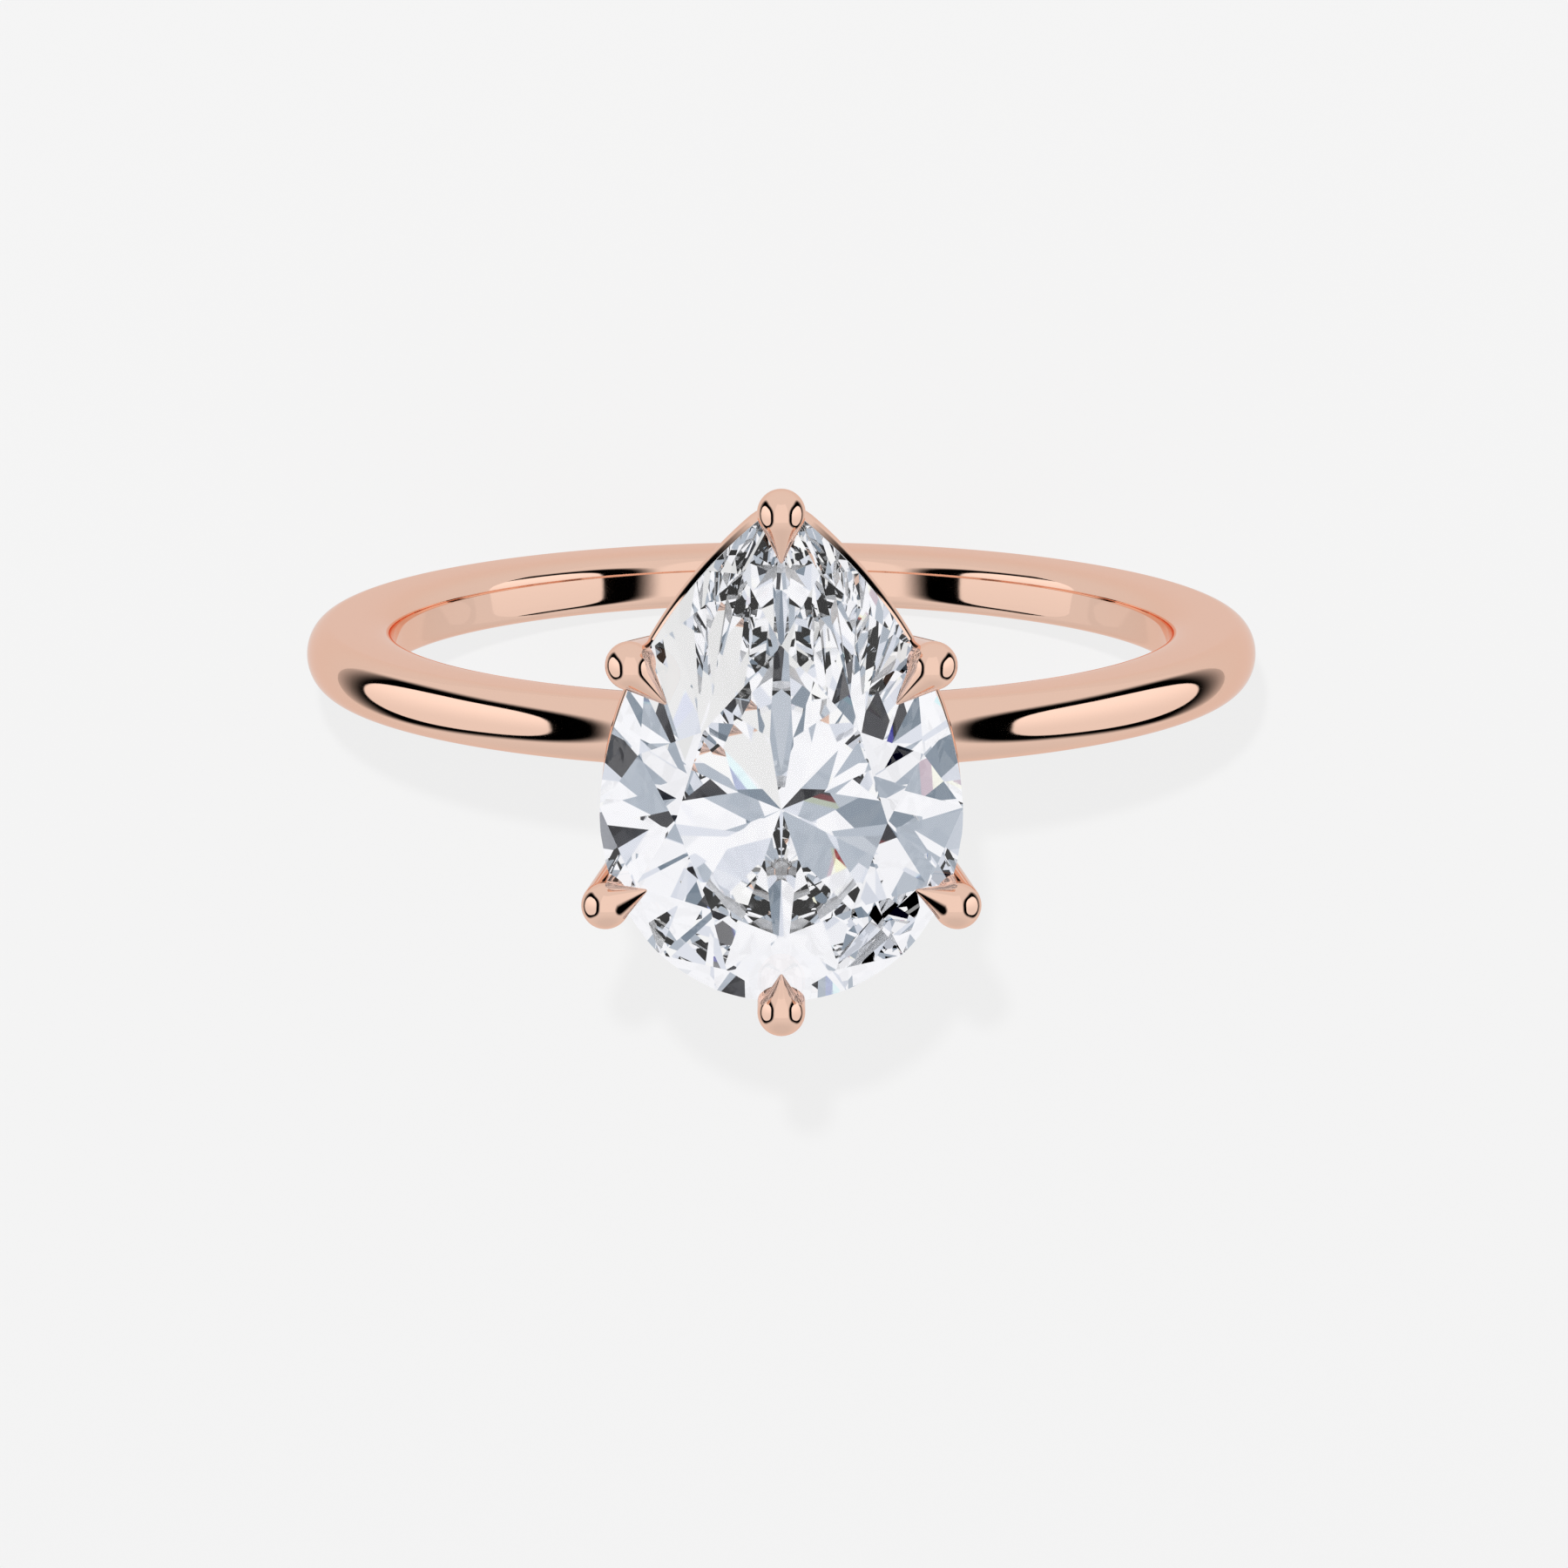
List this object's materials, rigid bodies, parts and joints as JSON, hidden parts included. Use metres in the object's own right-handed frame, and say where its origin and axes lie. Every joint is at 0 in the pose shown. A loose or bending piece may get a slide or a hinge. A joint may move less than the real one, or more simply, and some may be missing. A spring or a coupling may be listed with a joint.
{
  "type": "engagement ring",
  "caption": "Slim rose gold finger ring with a pear-shaped brilliant-cut stone held by pointed claws on an open wire head",
  "frame": {"origin": "middle of the finger hole, on the finger's axis", "axes": "+Z runs out through the middle of the stone, +Y is the finger's axis toward the stone's point, +X runs across the finger"},
  "size_m": [0.0196, 0.0103, 0.0241],
  "materials": {
    "shank_rose_gold": "mirror-polished 14 carat rose gold",
    "base_rail_rose_gold": "mirror-polished 14 carat rose gold",
    "gallery_rail_rose_gold": "mirror-polished 14 carat rose gold",
    "prong_top_rose_gold": "mirror-polished 14 carat rose gold",
    "prong_upper_left_rose_gold": "mirror-polished 14 carat rose gold",
    "prong_upper_right_rose_gold": "mirror-polished 14 carat rose gold",
    "prong_lower_left_rose_gold": "mirror-polished 14 carat rose gold",
    "prong_lower_right_rose_gold": "mirror-polished 14 carat rose gold",
    "prong_bottom_rose_gold": "mirror-polished 14 carat rose gold",
    "diamond_stone": "polished facets, colourless, refractive index 2.42"
  },
  "bodies": {
    "root": {"shank": "shank_rose_gold", "base_rail": "base_rail_rose_gold", "gallery_rail": "gallery_rail_rose_gold", "prong_top": "prong_top_rose_gold", "prong_upper_left": "prong_upper_left_rose_gold", "prong_upper_right": "prong_upper_right_rose_gold", "prong_lower_left": "prong_lower_left_rose_gold", "prong_lower_right": "prong_lower_right_rose_gold", "prong_bottom": "prong_bottom_rose_gold", "diamond": "diamond_stone"}
  },
  "joints": []
}
